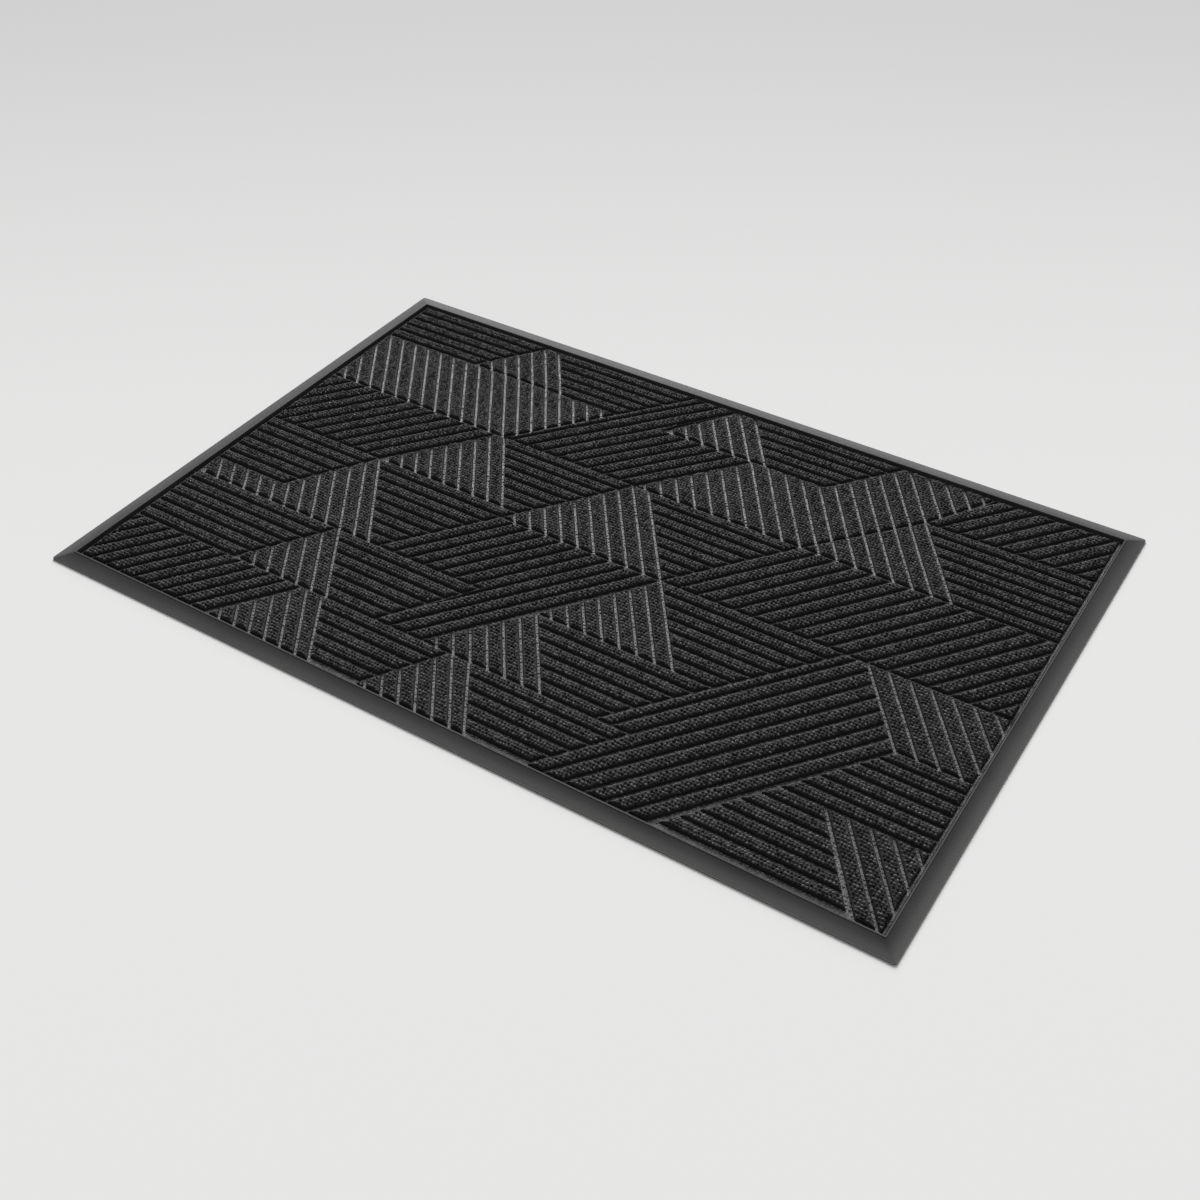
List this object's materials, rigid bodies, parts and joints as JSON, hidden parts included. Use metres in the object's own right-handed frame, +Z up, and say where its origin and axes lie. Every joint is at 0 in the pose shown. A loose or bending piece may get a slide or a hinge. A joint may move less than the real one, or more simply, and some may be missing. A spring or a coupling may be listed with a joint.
{
  "type": "door mat",
  "caption": "Flat entrance mat: ribbed loop carpet in a slanting block pattern, set in a rubber base with a low bevelled border, for wiping shoes and trapping dirt.",
  "frame": {"origin": "centre of the mat on the floor, at the middle of the flat underside", "axes": "+X along the long side, +Y along the short side, +Z up out of the carpet"},
  "size_m": [0.914, 0.61, 0.006],
  "materials": {
    "base_rubber": "matte, fine moulded grain",
    "backing_cloth": "plain woven, matte",
    "pile_yarn": "heathered charcoal loop pile, matte"
  },
  "bodies": {
    "root": {"rubber_base": "base_rubber", "carpet_cloth": "backing_cloth", "carpet_pile": "pile_yarn"}
  },
  "joints": []
}
